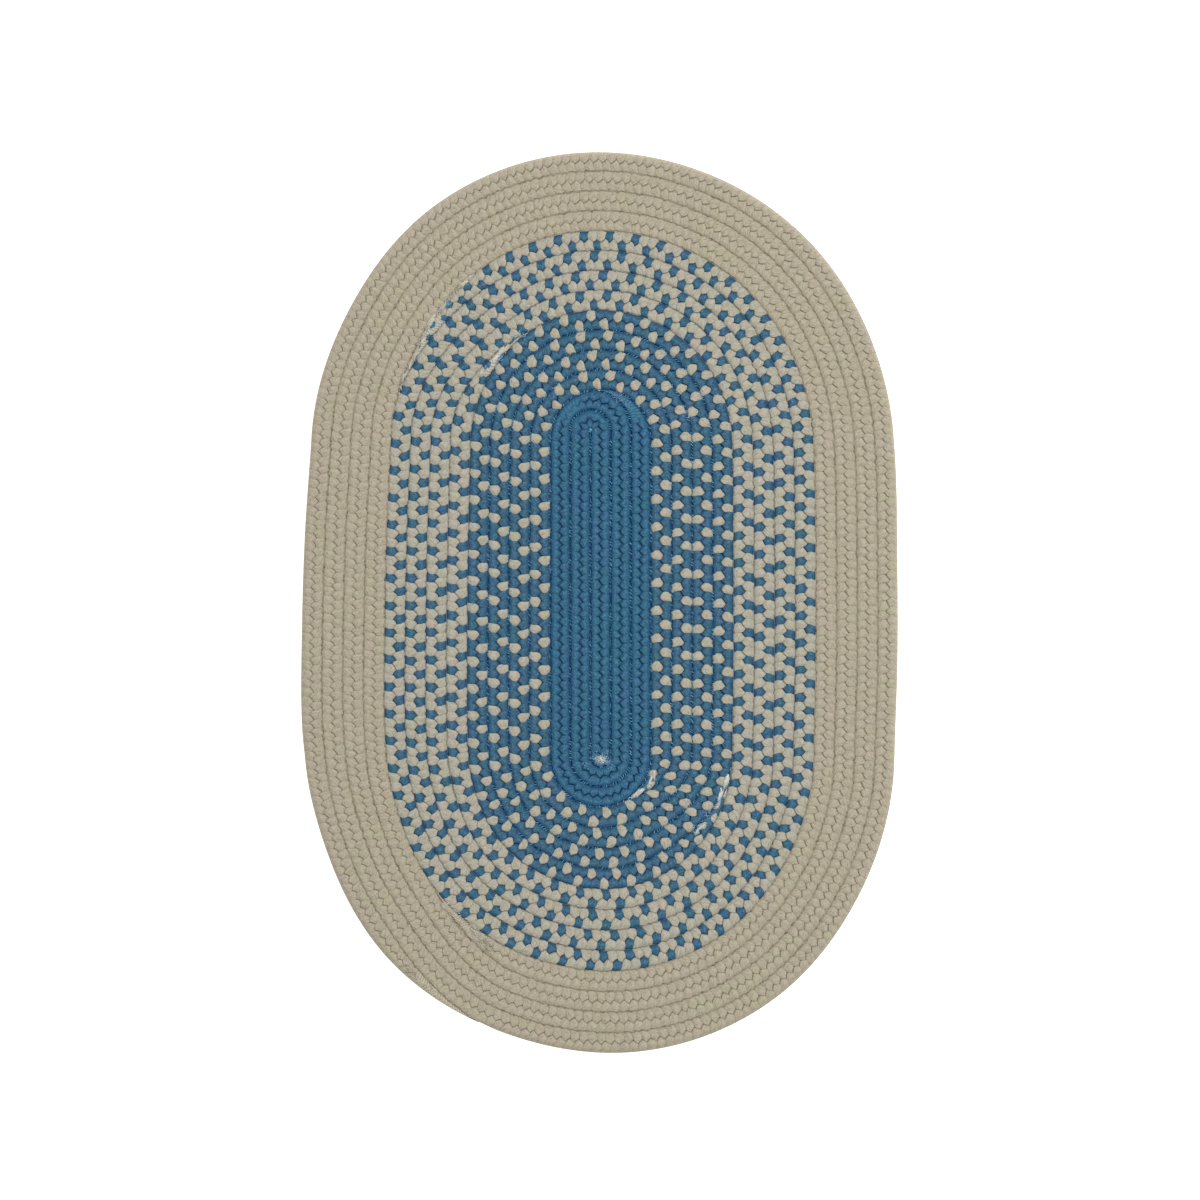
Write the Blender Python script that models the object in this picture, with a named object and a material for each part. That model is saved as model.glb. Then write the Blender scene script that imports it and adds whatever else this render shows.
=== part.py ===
"""Oval braided rug: four lengths of flat braid, each coiled round the one before and laced edge to edge.

Metres, +Z up. The rug lies on z = 0 with the middle of its outline at the origin and its length along Y.
Each length of braid is one closed solid with the braid's outer form: a flat strip with bevelled edges that
winds outwards anticlockwise, seen from above. Strands and lacing are not modelled here.
"""

import math
from collections import namedtuple

import bpy

# Driving dimensions.
THICKNESS = 0.0115
GAP = 0.0003  # between neighbouring coils
CORE_LENGTH = 0.3213  # straight middle line that the coils go round
BRAID_WIDTH = 0.0205  # of the centre's braid
CENTRE_REACH = 2.5 * BRAID_WIDTH  # from the middle line to the centre's edge
RUG_REACH = 0.2982  # from the middle line to the rug's edge, before the ease below
LOOP_RADIUS = 0.2028  # of the loop along which places round the rug are measured
EDGE_BEVEL = 0.0028
EDGE_BEVEL_SHARE = 1 / 3  # the most of a narrow end's width that one bevel takes
TURN_RISE = 0.0100  # the centre's far turns sit this far beyond the middle line's end
TIP_WIDTH = 0.0020  # of a tapered end where it is cut
CENTRE_TIP_WIDTH = 0.0030

# The centre's braid starts as a blunt tongue at the foot of the middle line: how far below the foot each
# section lies, and half its width, in braid widths. Its straight run has its full width from a little above
# the foot.
CENTRE_START = ((0.38, 0.24), (0.0, 0.42))
CENTRE_RUN_RISE = 0.3

# Flat facets of the next length cut across the true arc, so the centre stays this share inside it.
FACET_SHARE = 0.995

ARC_STEPS = 18  # round each end
LEG_STEPS = 3  # along each side
TURN_STEPS = 10  # round each end of the centre

# How far the rug's edge lies outside (+) or inside (-) its plain oval, at equal places round the loop.
# The first place is the foot of the right side, and the others follow anticlockwise.
EASE_MM = (
    0.5, 3.5, 3.5, 2.0,  # right side and shoulder
    -4.5, -5.5, -6.5, -5.5, -6.5, -10.5,  # far end
    -4.5, 2.0, 5.0, 5.0,  # left side
    -4.0, -0.5, -1.0, 4.0, 4.5, -0.5,  # near end
)

# Each coiled length fills its share of the way from the centre's edge (0) to the rug's edge (1). It
# starts and ends at its splice, where every coil steps out by one braid, and the splice runs from one
# place round the loop to another (0 to 1).
Coil = namedtuple("Coil", "name inner_share outer_share coils splice_from splice_to colour")
COILS = (
    Coil("blue_mix_braid", 0.0, 1 / 3, 4, 0.885, 1.005, (0.110, 0.230, 0.370)),
    Coil("tan_mix_braid", 1 / 3, 2 / 3, 4, 0.385, 0.490, (0.390, 0.370, 0.290)),
    Coil("tan_border_braid", 2 / 3, 1.0, 4, 0.733, 0.797, (0.500, 0.440, 0.330)),
)
CENTRE_NAME = "blue_centre_braid"
CENTRE_COLOUR = (0.070, 0.190, 0.330)
YARN_ROUGHNESS = 0.9

HALF_CORE = CORE_LENGTH / 2
LOOP_LENGTH = 2 * CORE_LENGTH + 2 * math.pi * LOOP_RADIUS
LEG_SHARE = CORE_LENGTH / LOOP_LENGTH
ARC_SHARE = 0.5 - LEG_SHARE


def clear_scene():
    """Removes the objects that a new file opens with."""
    for obj in list(bpy.data.objects):
        bpy.data.objects.remove(obj, do_unlink=True)


def smooth(t):
    """Eases from 0 to 1 as t goes from 0 to 1."""
    t = min(max(t, 0.0), 1.0)
    return t * t * (3 - 2 * t)


def ease(place):
    """The edge's ease in metres at a place round the loop, a smooth curve through the table."""
    count = len(EASE_MM)
    step, t = divmod((place % 1.0) * count, 1.0)
    a, b, c, d = (EASE_MM[(int(step) + k) % count] for k in (-1, 0, 1, 2))
    curve = 2 * b + (c - a) * t + (2 * a - 5 * b + 4 * c - d) * t**2 + (3 * (b - c) + d - a) * t**3
    return curve / 2 / 1000


def ray(place):
    """Start, on the middle line, and direction of the ray through a place round the loop."""
    place %= 1.0
    if place < LEG_SHARE:
        return (0.0, -HALF_CORE + place / LEG_SHARE * CORE_LENGTH), (1.0, 0.0)
    place -= LEG_SHARE
    if place < ARC_SHARE:
        angle = math.pi * place / ARC_SHARE
        return (0.0, HALF_CORE), (math.cos(angle), math.sin(angle))
    place -= ARC_SHARE
    if place < LEG_SHARE:
        return (0.0, HALF_CORE - place / LEG_SHARE * CORE_LENGTH), (-1.0, 0.0)
    angle = math.pi * (1 + (place - LEG_SHARE) / ARC_SHARE)
    return (0.0, -HALF_CORE), (math.cos(angle), math.sin(angle))


def reach(place, share):
    """Distance from the middle line to the ring that lies at a share of the way to the rug's edge."""
    return CENTRE_REACH + (RUG_REACH + ease(place) - CENTRE_REACH) * share


def on_ray(place, distance):
    """The point at a distance from the middle line, on the ray through a place round the loop."""
    (x, y), (along_x, along_y) = ray(place)
    return x + distance * along_x, y + distance * along_y


def stations():
    """Places round one loop at which every coil has a section, so that neighbours stay parallel."""
    right = [LEG_SHARE * k / LEG_STEPS for k in range(LEG_STEPS)]
    far = [LEG_SHARE + ARC_SHARE * k / ARC_STEPS for k in range(ARC_STEPS)]
    return right + far + [0.5 + place for place in right + far]


def width_of(section):
    """Distance between a section's edge points."""
    return math.dist(*section)


def tip_between(narrow, wide):
    """The section at which a tapered end is cut, on the straight lines between two other sections."""
    t = (TIP_WIDTH - width_of(narrow)) / (width_of(wide) - width_of(narrow))
    return [[a + (b - a) * t for a, b in zip(near, far)] for near, far in zip(narrow, wide)]


def coil_sections(coil):
    """Inner and outer edge points of a coiled length, one pair a section, from its start to its end."""
    splice = coil.splice_to - coil.splice_from
    sections = []
    for lap in range(coil.coils + 2):
        for station in stations():
            travel = lap + station - coil.splice_from
            if travel < 0:
                continue
            turn, rest = divmod(travel, 1.0)
            inner = turn - 1 + smooth(rest / splice)
            pair = []
            for turns, side in ((inner, 1), (inner + 1, -1)):
                within = min(max(turns, 0.0), coil.coils)
                share = coil.inner_share + (coil.outer_share - coil.inner_share) * within / coil.coils
                pair.append(on_ray(station, reach(station, share) + side * GAP / 2))
            sections.append(pair)
    full = [k for k, section in enumerate(sections) if width_of(section) > TIP_WIDTH]
    first, last = full[0], full[-1]
    start = [tip_between(sections[first - 1], sections[first])] if first else []
    end = [tip_between(sections[last + 1], sections[last])] if last + 1 < len(sections) else []
    return start + sections[first : last + 1] + end


def arc(centre, inner_radius, outer_radius, start, sweep):
    """Edge points round part of a ring, without its first section."""
    sections = []
    for k in range(1, TURN_STEPS + 1):
        angle = start + sweep * k / TURN_STEPS
        x, y = math.cos(angle), math.sin(angle)
        sections.append([(centre[0] + r * x, centre[1] + r * y) for r in (inner_radius, outer_radius)])
    return sections


def run(inner_x, outer_x, start_y, end_y):
    """Edge points at both ends of a straight run and halfway."""
    return [[(inner_x, y), (outer_x, y)] for y in (start_y, (start_y + end_y) / 2, end_y)]


def inside_centre(point):
    """Draws a point in to the centre's outer edge where it lies beyond it."""
    x, y = point
    core_y = min(max(y, -HALF_CORE), HALF_CORE)
    distance = math.hypot(x, y - core_y)
    limit = (CENTRE_REACH - 1.5 * GAP) * FACET_SHARE
    if distance <= limit:
        return point
    return x * limit / distance, core_y + (y - core_y) * limit / distance


def centre_sections():
    """Inner and outer edge points of the centre: a straight run, then two coils, and a tapered end."""
    width = BRAID_WIDTH
    slack = GAP / 2
    turn_y = HALF_CORE + TURN_RISE
    far = (-width / 2, turn_y)
    near = (0.0, -HALF_CORE)
    sections = []
    for drop, half_width in CENTRE_START:
        start_y = near[1] - drop * width
        sections.append([(-half_width * width, start_y), (half_width * width, start_y)])
    sections += run(-width / 2 + slack, width / 2 - slack, near[1] + CENTRE_RUN_RISE * width, turn_y)
    for lap in (0, 1):
        inner, outer = max(lap * width + slack, 2 * slack), (lap + 1) * width - slack
        sections += arc(far, inner, outer, 0.0, math.pi)
        inner, outer = (lap + 0.5) * width + slack, (lap + 1.5) * width - slack
        sections += run(-inner, -outer, turn_y, near[1])[1:]
        sections += arc(near, inner, outer, math.pi, math.pi)
        sections += run(inner, outer, near[1], (turn_y, HALF_CORE)[lap])[1:]
    # The end tapers away between the second coil and the centre's outer edge.
    coil_edge = 1.5 * width + slack
    turn_edge = 2 * width + slack
    for k in range(1, TURN_STEPS + 1):
        angle = math.pi / 2 * k / TURN_STEPS
        outside = (math.cos(angle) * CENTRE_REACH, HALF_CORE + math.sin(angle) * CENTRE_REACH)
        inside = (coil_edge, outside[1])
        if outside[1] > turn_y:
            back = (outside[0] - far[0], outside[1] - far[1])
            shrink = turn_edge / math.hypot(*back)
            inside = (far[0] + back[0] * shrink, far[1] + back[1] * shrink)
        sections.append([inside, outside])
        if math.dist(inside_centre(outside), inside) < CENTRE_TIP_WIDTH:
            break
    return [[inside_centre(point) for point in pair] for pair in sections]


def section_profile(inner, outer):
    """The eight corners of a strip's section between its edge points: flat faces and bevelled edges."""
    width = width_of((inner, outer))
    bevel = min(EDGE_BEVEL, width * EDGE_BEVEL_SHARE)
    across = ((outer[0] - inner[0]) / width, (outer[1] - inner[1]) / width)
    half = [(bevel, 0.0), (width - bevel, 0.0), (width, bevel), (width, THICKNESS - bevel)]
    rest = [(width - bevel, THICKNESS), (bevel, THICKNESS), (0.0, THICKNESS - bevel), (0.0, bevel)]
    return [(inner[0] + w * across[0], inner[1] + w * across[1], z) for w, z in half + rest]


def make_material(name, colour):
    """A plain yarn material in the length's mean colour."""
    material = bpy.data.materials.new(name)
    material.use_nodes = True
    shader = material.node_tree.nodes["Principled BSDF"]
    shader.inputs["Base Color"].default_value = (*colour, 1.0)
    shader.inputs["Roughness"].default_value = YARN_ROUGHNESS
    shader.inputs["Metallic"].default_value = 0.0
    return material


def make_strip(name, sections, middle, colour, collection):
    """Lofts one closed strip through its sections, with the rug's middle moved to the origin."""
    rings = [section_profile(inner, outer) for inner, outer in sections]
    corners = len(rings[0])
    points = [(x - middle[0], y - middle[1], z) for ring in rings for x, y, z in ring]
    faces = []
    for base in range(0, len(points) - corners, corners):
        for k in range(corners):
            after = (k + 1) % corners
            faces.append((base + k, base + corners + k, base + corners + after, base + after))
    last = len(points) - corners
    faces.append(tuple(range(corners)))
    faces.append(tuple(last + k for k in reversed(range(corners))))
    mesh = bpy.data.meshes.new(name)
    mesh.from_pydata(points, [], faces)
    mesh.validate()
    mesh.materials.append(make_material(name, colour))
    obj = bpy.data.objects.new(name, mesh)
    collection.objects.link(obj)
    return obj


def outline_middle():
    """The middle of the rug's outline, from its outermost sections."""
    points = [on_ray(station, reach(station, 1.0) - GAP / 2) for station in stations()]
    lows = [min(point[k] for point in points) for k in (0, 1)]
    highs = [max(point[k] for point in points) for k in (0, 1)]
    return [(low + high) / 2 for low, high in zip(lows, highs)]


def main():
    """Makes the four lengths of braid."""
    clear_scene()
    collection = bpy.data.collections.new("braided_rug")
    bpy.context.scene.collection.children.link(collection)
    middle = outline_middle()
    make_strip(CENTRE_NAME, centre_sections(), middle, CENTRE_COLOUR, collection)
    for coil in COILS:
        make_strip(coil.name, coil_sections(coil), middle, coil.colour, collection)


main()
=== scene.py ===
"""Looks for the oval braided rug.

The rug is four lengths of flat three-strand braid. Each is coiled round the one before, and neighbouring
coils are laced edge to edge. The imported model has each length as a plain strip. This script replaces every
strip with the braid itself: two rows of plump yarn lobes that meet in a zigzag, on both faces, down to the
rolled edges.
"""

import logging
import math
from dataclasses import dataclass, field
from enum import Enum, IntEnum

import bmesh
import bpy
import numpy as np
from mathutils import Euler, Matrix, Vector


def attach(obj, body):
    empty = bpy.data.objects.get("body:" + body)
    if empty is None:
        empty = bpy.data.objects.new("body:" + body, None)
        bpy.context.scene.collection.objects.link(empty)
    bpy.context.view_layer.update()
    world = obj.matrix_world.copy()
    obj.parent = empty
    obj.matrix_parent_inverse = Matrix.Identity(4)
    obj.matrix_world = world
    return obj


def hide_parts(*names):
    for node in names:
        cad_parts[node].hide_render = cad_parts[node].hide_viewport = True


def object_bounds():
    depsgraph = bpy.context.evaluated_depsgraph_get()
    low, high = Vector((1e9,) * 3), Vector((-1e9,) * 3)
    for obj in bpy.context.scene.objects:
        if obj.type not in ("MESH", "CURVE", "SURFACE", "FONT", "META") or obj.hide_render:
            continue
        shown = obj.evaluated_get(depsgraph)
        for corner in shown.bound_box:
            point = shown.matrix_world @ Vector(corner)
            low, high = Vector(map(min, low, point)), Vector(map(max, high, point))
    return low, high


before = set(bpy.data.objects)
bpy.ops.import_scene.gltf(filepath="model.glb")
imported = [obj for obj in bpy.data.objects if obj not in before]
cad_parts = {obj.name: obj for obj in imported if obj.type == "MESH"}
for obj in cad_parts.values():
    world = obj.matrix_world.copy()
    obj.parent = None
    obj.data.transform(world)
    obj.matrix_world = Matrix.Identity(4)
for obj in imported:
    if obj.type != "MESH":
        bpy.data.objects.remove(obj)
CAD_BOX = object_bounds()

LOG = logging.getLogger("braided_rug")
MM = 0.001
BODY = "root"


# ----------------------------------------------------------------------------------------------------
# Plan of the rug: where each coil of braid runs
# ----------------------------------------------------------------------------------------------------


Section = list[tuple[float, float]]  # the inner and the outer edge's point at one place along a braid
SECTION_STEP = 0.0008  # share of a lap between sections: about 1.5 mm
TURN_STEPS = 36
RUN_STEPS = 40
TIP_WIDTH = 0.7 * MM
# The centre's rounded start: half its width, and its place past the foot of the middle line, in braid widths.
ROUNDED_START = ((0.17, -0.45), (0.3, -0.38), (0.39, -0.29), (0.455, -0.15), (0.483, 0.0))


def smooth(t: np.ndarray) -> np.ndarray:
    """Eases from 0 to 1 as t goes from 0 to 1."""
    t = np.clip(t, 0.0, 1.0)
    return t * t * (3 - 2 * t)


@dataclass(frozen=True)
class RugPlan:
    """The rug's oval, in metres: rings round a straight middle line, with a slightly uneven edge."""

    core_length: float = 0.3213
    braid_width: float = 0.0205
    rug_reach: float = 0.2982
    loop_radius: float = 0.2028
    turn_rise: float = 0.0100
    gap: float = 0.0003
    # At even steps round the lap. Measured by a program, then rounded.
    ease_mm: tuple[float, ...] = (
        0.5, 3.5, 3.5, 2.0,  # right side and shoulder
        -4.5, -5.5, -6.5, -5.5, -6.5, -10.5,  # far end
        -4.5, 2.0, 5.0, 5.0,  # left side
        -4.0, -0.5, -1.0, 4.0, 4.5, -0.5,  # near end
    )

    @property
    def half_core(self) -> float:
        """Half the straight middle line."""
        return self.core_length / 2

    @property
    def centre_reach(self) -> float:
        """From the middle line to the edge of the centre, which is five braids across."""
        return 2.5 * self.braid_width

    @property
    def leg_share(self) -> float:
        """The share of a lap that one straight side takes."""
        return self.core_length / (2 * self.core_length + 2 * math.pi * self.loop_radius)

    def leg_starts(self) -> np.ndarray:
        """Places round the lap (0 to 1) where the right side, far end, left side and near end start."""
        return np.array([0.0, self.leg_share, 0.5, 0.5 + self.leg_share])

    def ease(self, place: np.ndarray) -> np.ndarray:
        """How far the rug's edge lies outside its plain oval: a smooth curve through the table.

        Args:
            place: places round the lap, 0 to 1.

        Returns:
            The distance at each place, in metres.
        """
        table = np.array(self.ease_mm)
        step, t = np.divmod(np.mod(place, 1.0) * len(table), 1.0)
        a, b, c, d = (table[(step.astype(int) + k) % len(table)] for k in (-1, 0, 1, 2))
        curve = 2 * b + (c - a) * t + (2 * a - 5 * b + 4 * c - d) * t**2 + (3 * (b - c) + d - a) * t**3
        return curve / 2 * MM

    def ray(self, place: np.ndarray) -> tuple[np.ndarray, np.ndarray]:
        """The rays on which all rings are measured.

        Args:
            place: places round the lap, 0 to 1.

        Returns:
            The rays' starts, on the middle line, and their directions.
        """
        place = np.mod(place, 1.0)
        half = np.mod(place, 0.5)
        side = np.where(place < 0.5, 1.0, -1.0)
        along = np.clip(half / self.leg_share, 0.0, 1.0)
        angle = math.pi * np.clip((half - self.leg_share) / (0.5 - self.leg_share), 0.0, 1.0)
        start = np.stack([np.zeros_like(place), side * (along - 0.5) * self.core_length], axis=-1)
        return start, np.stack([side * np.cos(angle), side * np.sin(angle)], axis=-1)

    def ring_point(self, place: np.ndarray, share: np.ndarray, offset: float = 0.0) -> np.ndarray:
        """Points on the rings between the centre's edge and the rug's edge.

        Args:
            place: places round the lap, 0 to 1.
            share: share of the way out, at each place.
            offset: how much further out the points lie, in metres.

        Returns:
            One point in plan for each place.
        """
        start, along = self.ray(place)
        reach = self.centre_reach + (self.rug_reach + self.ease(place) - self.centre_reach) * share + offset
        return start + along * reach[..., None]

    def middle(self) -> np.ndarray:
        """The middle of the rug's outline."""
        place = np.linspace(0.0, 1.0, 2001)
        edge = self.ring_point(place, np.ones_like(place), -self.gap / 2)
        return (edge.min(axis=0) + edge.max(axis=0)) / 2


@dataclass
class BraidPath:
    """One length of braid in plan: its two edges point by point, and the lengths where its legs start."""

    inner: np.ndarray
    outer: np.ndarray
    free: np.ndarray = field(default_factory=lambda: np.zeros(2))  # 1 where its outer edge is the rug's
    marks: np.ndarray = field(default_factory=lambda: np.zeros(0))
    length: np.ndarray = field(init=False)

    def __post_init__(self) -> None:
        """Works out the length of the braid's middle line up to each point."""
        steps = np.linalg.norm(np.diff((self.inner + self.outer) / 2, axis=0), axis=1)
        self.length = np.concatenate([[0.0], np.cumsum(steps)])

    @property
    def total(self) -> float:
        """The whole length of the braid, in metres."""
        return float(self.length[-1])

    def edges(self, length: np.ndarray) -> tuple[np.ndarray, np.ndarray]:
        """Points on both edges.

        Args:
            length: lengths along the braid, in metres.

        Returns:
            The inner and the outer edge's point at each length, in plan.
        """
        pairs = (
            np.stack([np.interp(length, self.length, edge[:, axis]) for axis in (0, 1)], axis=-1)
            for edge in (self.inner, self.outer)
        )
        return tuple(pairs)

    def freedom(self, length: np.ndarray) -> np.ndarray:
        """How free the outer edge is at lengths along the braid: 1 on the rug's edge, 0 by a neighbour."""
        return np.interp(length, np.linspace(0.0, self.total, len(self.free)), self.free)

    def width(self, length: np.ndarray) -> np.ndarray:
        """The braid's width at lengths along it."""
        inner, outer = self.edges(length)
        return np.linalg.norm(outer - inner, axis=-1)


@dataclass(frozen=True)
class Coil:
    """A coiled length of braid between two rings, with the splice where every coil steps out by one braid."""

    inner_share: float
    outer_share: float
    coils: int
    splice_from: float
    splice_to: float

    def path(self, plan: RugPlan) -> BraidPath:
        """Lays the length out: a dense row of sections from its tapered start to its tapered end.

        Args:
            plan: the rug's oval.

        Returns:
            The braid's path, with the starts of its legs marked.
        """
        splice = self.splice_to - self.splice_from
        travel = np.arange(0.0, self.coils + splice, SECTION_STEP)
        turn, rest = np.divmod(travel, 1.0)
        inner = turn - 1 + smooth(rest / splice)
        edges = []
        for turns, side in ((inner, 1), (inner + 1, -1)):
            within = np.clip(turns, 0.0, self.coils) / self.coils
            share = self.inner_share + (self.outer_share - self.inner_share) * within
            edges.append(plan.ring_point(self.splice_from + travel, share, side * plan.gap / 2))
        wide = np.linalg.norm(edges[1] - edges[0], axis=1) > TIP_WIDTH
        path = BraidPath(edges[0][wide], edges[1][wide])
        if self.outer_share == 1.0:
            path.free = np.interp(np.linspace(0.0, path.total, 400), path.length, share[wide] > 0.999)
        laps = np.arange(self.coils + 2)[:, None] + plan.leg_starts()[None, :] - self.splice_from
        path.marks = np.interp(laps.ravel(), travel[wide], path.length, left=-1.0, right=-1.0)
        return path


def arc(centre: tuple[float, float], radii: tuple[float, float], start: float, sweep: float) -> list[Section]:
    """Edge points round part of a ring, without its first section.

    Args:
        centre: the ring's middle.
        radii: of the inner and the outer edge.
        start: angle of the first section.
        sweep: angle from there to the last.

    Returns:
        Sections, each a pair of edge points.
    """
    angles = [start + sweep * k / TURN_STEPS for k in range(1, TURN_STEPS + 1)]
    return [[(centre[0] + r * math.cos(t), centre[1] + r * math.sin(t)) for r in radii] for t in angles]


def run(inner_x: float, outer_x: float, start_y: float, end_y: float) -> list[Section]:
    """Edge points along a straight run."""
    return [[(inner_x, y), (outer_x, y)] for y in np.linspace(start_y, end_y, RUN_STEPS)]


def centre_path(plan: RugPlan) -> BraidPath:
    """The centre: a straight run up the middle line, then two coils round it, and a tapered end.

    Args:
        plan: the rug's oval.

    Returns:
        The centre's path.
    """
    width, slack = plan.braid_width, plan.gap / 2
    top, foot = plan.half_core, -plan.half_core
    turn_y = top + plan.turn_rise
    far, near = (-width / 2, turn_y), (0.0, foot)
    sections = [
        [(-share * width, foot + rise * width), (share * width, foot + rise * width)]
        for share, rise in ROUNDED_START
    ]
    sections += run(-width / 2 + slack, width / 2 - slack, foot + 0.3 * width, turn_y)
    for lap in (0, 1):
        radii = (max(lap * width + slack, 2 * slack), (lap + 1) * width - slack)
        sections += arc(far, radii, 0.0, math.pi)
        inner, outer = (lap + 0.5) * width + slack, (lap + 1.5) * width - slack
        sections += run(-inner, -outer, turn_y, foot)[1:]
        sections += arc(near, (inner, outer), math.pi, math.pi)
        sections += run(inner, outer, foot, (turn_y, top)[lap])[1:]
    for k in range(1, TURN_STEPS + 1):
        angle = math.pi / 2 * k / TURN_STEPS
        outside = (math.cos(angle) * plan.centre_reach, top + math.sin(angle) * plan.centre_reach)
        inside = (1.5 * width + slack, outside[1])
        if outside[1] > turn_y:
            back = (outside[0] - far[0], outside[1] - far[1])
            shrink = (2 * width + slack) / math.hypot(*back)
            inside = (far[0] + back[0] * shrink, far[1] + back[1] * shrink)
        if math.dist(inside, outside) < TIP_WIDTH:
            break
        sections.append([inside, outside])
    edges = np.array(sections)
    core_y = np.clip(edges[..., 1], foot, top)
    away = np.stack([edges[..., 0], edges[..., 1] - core_y], axis=-1)
    distance = np.linalg.norm(away, axis=-1, keepdims=True)
    limit = plan.centre_reach - 1.5 * plan.gap
    away *= np.minimum(1.0, limit / np.maximum(distance, 1e-9))
    edges = np.stack([away[..., 0], away[..., 1] + core_y], axis=-1)
    return BraidPath(edges[:, 0], edges[:, 1])


# ----------------------------------------------------------------------------------------------------
# The braid's lobes
# ----------------------------------------------------------------------------------------------------


UV_MARGIN = 0.03  # between the lines of the unrolled skin, in line widths
WELD_MM = 0.02
SLIVER_MM = 0.005
SHARP_DEGREES = 38  # a crease steeper than this stays crisp


class Row(IntEnum):
    """The two rows of lobes along a braid."""

    INNER = 0
    OUTER = 1


class Face(Enum):
    """The two faces of the rug."""

    UPPER = "upper"
    UNDER = "under"


@dataclass(frozen=True)
class LobeShape:
    """The form of one yarn lobe: millimetres, and shares of the lobe's pitch or the braid's width."""

    pitch: float = 9.2
    thickness: float = 11.5
    braid_width: float = 20.5
    zigzag: float = 0.094  # the zigzag's reach to either side of the middle
    slant: float = 0.05  # how far the lobe leans back from its tip to the edge
    spur: float = 0.12  # how much further its corner runs back right at the edge
    bulge: float = 0.07  # how far an edge that lies over its neighbour rounds out, in pitches
    bulge_across: float = 0.3  # how much of that it rounds out across the braid
    goes_under: tuple[float, float] = (0.38, 0.24)  # where along its tip a lobe starts to, and over how far
    girth: float = 2.8  # round the braid, in widths
    unevenness: float = 0.05  # how far corners stray, in pitches
    corner_across: float = 0.3  # how much of that the zigzag's corners stray across the braid
    corner_along: float = 0.8  # how much of it the corners at the edge stray along the braid
    puff: float = 0.35  # how much some lobes stand over others
    side_crease: float = 0.9
    tip_crease: float = 1.9
    overlap: float = 0.25  # how much deeper the tip's crease is where the outer row lies over the inner row
    junction: float = 0.6  # extra depth where three lobes meet
    seam_stray: tuple[float, ...] = (0.0, 0.55, 0.45)  # how far each of the first grid lines strays sideways
    places: tuple[float, ...] = (0.0, 0.12, 0.38, 0.5, 0.62, 0.88, 1.0)  # grid lines along the braid
    # Grid lines from the edge in: distance in beside a neighbour, and on a free edge; depth below the face
    # beside a neighbour, and on a free edge; how far creases press in and down.
    edge_above: tuple[tuple[float, ...], ...] = (
        (0.0, 0.0, 5.75, 5.75, 0.0, 0.0),
        (-0.05, 1.0, 1.7, 2.4, 0.6, 0.4),
        (1.2, 3.0, 0.5, 0.6, 0.2, 0.8),
    )
    edge_below: tuple[tuple[float, ...], ...] = (
        (0.0, 0.0, 5.75, 5.75, 0.0, 0.0),
        (1.5, 2.0, 1.4, 1.5, 0.4, 0.6),
    )
    # Grid lines from there to the tip: share of the way, and share of the tip's crease reached where the lobe
    # lies over its neighbour, and where it goes under.
    crown_above: tuple[tuple[float, ...], ...] = ((0.38, 0.0, 0.0), (0.88, 0.2, 0.45), (1.0, 1.0, 1.0))
    crown_below: tuple[tuple[float, ...], ...] = ((0.6, 0.05, 0.1), (1.0, 1.0, 1.0))
    # Shade in the creases, 0 to 1: at a lobe's sides, short of its tip there and between, and at its tip,
    # with how much more or less that is where the outer row lies over or under; and the share left on tape.
    side_shade: float = 0.5
    corner_shade: float = 0.85
    crown_shade: float = 0.72
    tip_shade: float = 0.92
    over_shade: float = 0.08
    tape_shade: float = 0.25
    seam_shade: tuple[float, ...] = (1.0, 1.0, 0.6)  # on the grid lines from the edge in


def hollow(t: np.ndarray) -> np.ndarray:
    """Depth over a lobe: 1 at its borders (t = 0 and 1), 0 along its middle, and round between."""
    from_edge = np.minimum(t, 1 - t) * 2
    return 1 - np.sqrt(np.clip(1 - (1 - from_edge) ** 2, 0.0, 1.0))


def stray(plan: np.ndarray) -> np.ndarray:
    """How far a seam strays sideways at places in plan, about -1 to 1, in waves of some 8 to 14 mm."""
    x, y = plan[..., 0] / MM, plan[..., 1] / MM
    return np.sin(0.62 * x + 0.31 * y) * np.sin(0.27 * x - 0.58 * y + 1.3) + 0.3 * np.sin(0.9 * y + 0.7 * x)


@dataclass
class LobeRow:
    """One row of lobes along a braid: where each lobe's corners lie.

    The corners' numbers count lobes along the braid from its start. A lobe has two corners at the braid's
    edge, two shoulders on the zigzag and a tip between them. Shoulders and tips are given as number and
    share across.
    """

    edge: np.ndarray
    shoulders: np.ndarray
    tips: np.ndarray
    odd: np.ndarray
    push: np.ndarray  # over the lobe before, the one across before, the one across after, the one after
    tint: np.ndarray
    puff: np.ndarray


@dataclass
class Skin:
    """The grid points and faces of a braid's skin, with what the yarn needs to know about them."""

    points: list[np.ndarray] = field(default_factory=list)
    faces: list[np.ndarray] = field(default_factory=list)
    yarn: list[np.ndarray] = field(default_factory=list)
    tint: list[np.ndarray] = field(default_factory=list)
    crease: list[np.ndarray] = field(default_factory=list)
    seam: list[np.ndarray] = field(default_factory=list)
    tape: list[np.ndarray] = field(default_factory=list)
    lobe_uv: list[np.ndarray] = field(default_factory=list)
    bake_uv: list[np.ndarray] = field(default_factory=list)
    count: int = 0


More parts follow.
